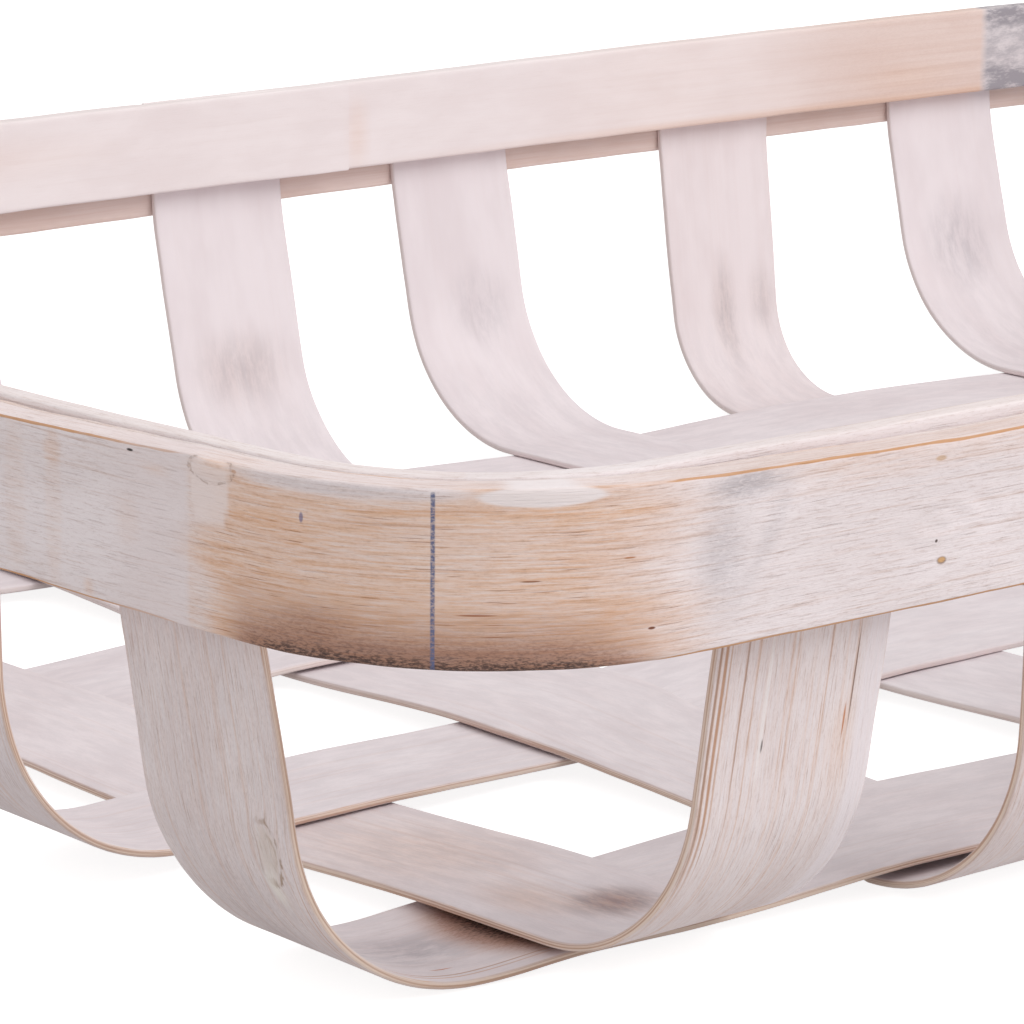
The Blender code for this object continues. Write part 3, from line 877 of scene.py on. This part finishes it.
def splint_marks(*places, bare=(0.10, 0.04), dull=0.0):
    """Marks for one splint, with grey painted shade on the upper face of its floor part, down in the tray.

    bare is how warm its outer and inner faces are, and dull how grey the outer one is. Each place is a soft
    spot: its middle, along and across, its reach, its shares of bare wood, stain and scorch, and whether it
    lies on the inner face.
    """
    def marks(along, across, inside, floor_shade):
        outside = 1 - inside
        # The second share is stain, dull on the outer face, and painted shade on the floor part's upper face.
        shares = [bare[0] * outside + bare[1] * inside, dull * outside + 0.20 * floor_shade * inside, 0.0]
        for middle, reach, amounts, within in places:
            here = spot(along, across, middle, reach) * (inside if within else outside)
            shares = [share + amount * here for share, amount in zip(shares, amounts)]
        return stack(*[np.clip(share, 0, 1) for share in shares])
    return marks


def plain_relief(along, across):
    """A face without relief."""
    return 0.0


knot_along = -0.2912
knot_across = -0.0116


def knot_relief(along, across):
    """A grown-over knot low on the riser nearest the left: a raised ring round a slight hollow."""
    away = np.hypot((along - knot_along) / 0.0062, (across - knot_across) / 0.0034)
    return 0.00055 * np.exp(-((away - 1.0) / 0.26) ** 2) - 0.00020 * np.exp(-(away / 0.6) ** 2)


def splint_finish():
    """The splints' pale wash with long faint streaks, the knot on the first riser, and small marks."""
    wood = Finish("splint_wood")
    colour, roughness, height = washed_wood(
        wood, shade(236, 227, 230), shade(230, 220, 223), bare=0.38, streaks=(7.0, 800.0))
    knot = (stock_between * splint_number(0, True) + knot_along, knot_across)
    patch = wood.within((knot[0] + 0.0070, knot[1] + 0.0010), (0.0065, 0.0030), 0.9)
    colour = wood.tint(colour, patch, 0.55, shade(246, 240, 230))
    eye = wood.plus(wood.away(knot, (0.0058, 0.0031)), wood.wobble(0.6, 300.0, 700.0, 3.0, 0.7))
    colour = wood.mix(wood.fade(eye, 1.0, 0.5, 0.0, 0.35), colour, shade(222, 210, 198))
    outer = wood.fade(wood.maths("ABSOLUTE", wood.minus(eye, 1.0)), 0.16, 0.03)
    inner = wood.fade(wood.maths("ABSOLUTE", wood.minus(eye, 0.5)), 0.16, 0.03, 0.0, 0.5)
    one_side = wood.fade(wood.place[1], knot[1] + 0.0016, knot[1] - 0.0016, 0.15, 1.0)
    ring = wood.times(wood.plus(outer, inner), one_side)
    ring = wood.times(ring, wood.fade(wood.noise(400.0, 900.0), 0.36, 0.60, 0.1, 1.0))
    colour = wood.tint(colour, ring, 0.75, shade(158, 128, 100))
    height = wood.minus(height, wood.times(ring, 1.2))
    for lengthwise, place, reach, ink, share in (
        (False, (-0.2128, 0.0066), (0.0016, 0.0003), (60, 44, 40), 0.9),
        (False, (-0.2144, -0.0119), (0.0040, 0.0003), (190, 112, 52), 0.8),
        (False, (-0.2220, -0.0130), (0.0120, 0.00025), (120, 84, 64), 0.8),
        (False, (-0.2200, 0.0070), (0.0220, 0.0006), (246, 240, 240), 0.5),
        (False, (-0.2230, 0.0125), (0.0300, 0.0003), (160, 110, 74), 0.6),
        (False, (-0.2200, 0.0174), (0.0450, 0.0005), (178, 122, 76), 0.75),
        (False, (-0.2200, 0.0187), (0.0450, 0.0004), (150, 104, 70), 0.70),
        (False, (-0.2150, 0.0163), (0.0350, 0.0003), (190, 136, 90), 0.5),
        (False, (-0.2080, -0.0172), (0.0700, 0.0036), (240, 231, 236), 0.6),
        (True, (-0.2440, -0.0120), (0.0030, 0.0003), (186, 110, 60), 0.8),
        (True, (-0.2460, -0.0155), (0.0400, 0.0003), (176, 128, 92), 0.7),
        (True, (-0.2560, -0.0168), (0.0500, 0.0003), (192, 138, 96), 0.6),
    ):
        origin = stock_between * splint_number(0, lengthwise)
        mark = wood.within((origin + place[0], place[1]), reach, 0.6)
        colour = wood.tint(colour, mark, share, shade(*ink))
    return wood.finish(colour, roughness, height, 0.00025)


splint_wood = splint_finish()
plain_marks = splint_marks(dull=0.10)
first_marks = splint_marks(
    ((-0.2430, -0.001), (0.022, 0.012), (0.0, 0.45, 0.05), True),
    # Partly brown wood, partly painted shadow under the first crosswise splint's near edge.
    ((-0.2190, 0.0), (0.019, 0.026), (1.0, 0.0, 1.0), True),
    # Greyer low on the outer face of the near bend, a painted shade where it faces the floor.
    ((-0.2700, 0.0), (0.030, 0.025), (0.0, 0.15, 0.0), False),
    ((knot_along, knot_across), (0.006, 0.0033), (0.15, 0.10, 0.0), False), bare=(0.19, 0.06), dull=0.12)
lengthwise_looks = [first_marks, plain_marks, plain_marks, plain_marks]
crosswise_looks = [
    splint_marks(
        ((-0.0950, 0.0), (0.042, 0.032), (0.35, 0.15, 0.0), True),
        ((-0.1440, -0.004), (0.012, 0.013), (0.45, 1.0, 0.25), True),
        ((-0.1330, 0.006), (0.016, 0.012), (0.4, 0.1, 0.0), True),
        ((-0.2100, -0.012), (0.016, 0.005), (0.25, 0.0, 0.0), False), bare=(0.16, 0.06)),
    splint_marks(bare=(0.15, 0.06), dull=0.05),
    splint_marks(((0.1955, 0.0), (0.014, 0.021), (0.15, 0.42, 0.0), True)),
    splint_marks(((0.2025, -0.004), (0.016, 0.014), (0.0, 0.34, 0.0), True)),
    splint_marks(
        ((0.1919, 0.001), (0.020, 0.006), (0.15, 0.55, 0.0), True),
        ((0.1940, -0.0125), (0.014, 0.006), (0.10, 0.35, 0.0), True), bare=(0.10, 0.10)),
    splint_marks(((0.1968, 0.0), (0.020, 0.018), (0.0, 0.45, 0.0), True)),
]
for index, marks in enumerate(lengthwise_looks):
    relief = plain_relief if index else knot_relief
    bend_splint(f"lengthwise_splint_{index + 1}", index, True, relief, marks)
for index, marks in enumerate(crosswise_looks):
    bend_splint(f"crosswise_splint_{index + 1}", index, False, plain_relief, marks)


# Studio. A pale floor and a white background, one large soft light from the right and above, a weak one from
# the left, and even light all round.
pure_white = (1.0, 1.0, 1.0, 1.0)
floor_half = 6.0
floor_level = -0.0004
corners = [(-1, -1), (1, -1), (1, 1), (-1, 1)]
floor_points = [(x * floor_half, y * floor_half, floor_level) for x, y in corners]
floor_mesh = bpy.data.meshes.new("studio_floor")
floor_mesh.from_pydata(floor_points, [], [(0, 1, 2, 3)])
floor = add_object("studio_floor", floor_mesh)


def seen_directly(tree):
    """1 for rays from the camera and for mirror and see-through rays."""
    path = add_node(tree, "ShaderNodeLightPath", {})
    total = path.outputs["Is Camera Ray"]
    for name in ("Is Glossy Ray", "Is Transmission Ray"):
        values = {0: total, 1: path.outputs[name]}
        total = add_node(tree, "ShaderNodeMath", values, operation="MAXIMUM").outputs[0]
    return total


floor_material = bpy.data.materials.new("studio_floor")
floor_material.use_nodes = True
tree = floor_material.node_tree
glow_unseen = 0.18
glow_added = 0.62
glow = add_node(tree, "ShaderNodeMath", {
    0: seen_directly(tree), 1: glow_added, 2: glow_unseen}, operation="MULTIPLY_ADD")
set_inputs(tree, tree.nodes["Principled BSDF"], {
    "Base Color": (0.50, 0.495, 0.49, 1.0), "Roughness": 1.0, "Specular IOR Level": 0.0,
    "Emission Color": pure_white, "Emission Strength": glow.outputs[0]})
floor.data.materials.append(floor_material)

world = bpy.data.worlds.new("studio")
bpy.context.scene.world = world
world.use_nodes = True
tree = world.node_tree
tree.nodes.clear()
even_light, backdrop = (
    add_node(tree, "ShaderNodeBackground", {"Color": pure_white, "Strength": strength}).outputs[0]
    for strength in (0.68, 1.0))
choose = add_node(tree, "ShaderNodeMixShader", {0: seen_directly(tree), 1: even_light, 2: backdrop})
add_node(tree, "ShaderNodeOutputWorld", {0: choose.outputs[0]})


def add_softbox(name, place, target, size, power):
    """A square area light that faces the target."""
    lamp = bpy.data.lights.new(name, "AREA")
    lamp.shape = "SQUARE"
    lamp.size = size
    lamp.energy = power
    holder = add_object(name, lamp)
    holder.location = place
    away = np.array(place) - np.array(target)
    level = math.hypot(away[0], away[1])
    holder.rotation_euler = (math.atan2(level, away[2]), 0.0, math.atan2(away[0], -away[1]))


add_softbox("key_softbox", (0.9, -1.6, 1.7), (0.0, 0.0, 0.05), 1.6, 30.0)
add_softbox("left_softbox", (-1.8, -0.6, 1.2), (0.0, 0.0, 0.05), 1.4, 2.0)

# Camera. It stands beyond the near left corner and looks down on it through a long lens. Its yaw is counted
# from the Y axis to the right, its pitch from level upwards, and its roll about the way it looks.
camera_data = bpy.data.cameras.new("camera")
camera_data.sensor_width = 36.0
camera_data.lens = 168.387
camera = add_object("camera", camera_data)
camera.location = (-0.74680, -0.75360, 0.27122)
yaw, pitch, roll = 0.70222, -0.23415, 0.00690
level = Matrix.Rotation(-yaw, 3, "Z") @ Matrix.Rotation(math.pi / 2 + pitch, 3, "X")
camera.rotation_euler = (level @ Matrix.Rotation(roll, 3, "Z")).to_euler()
bpy.context.scene.camera = camera
bpy.context.scene.view_settings.view_transform = "Standard"
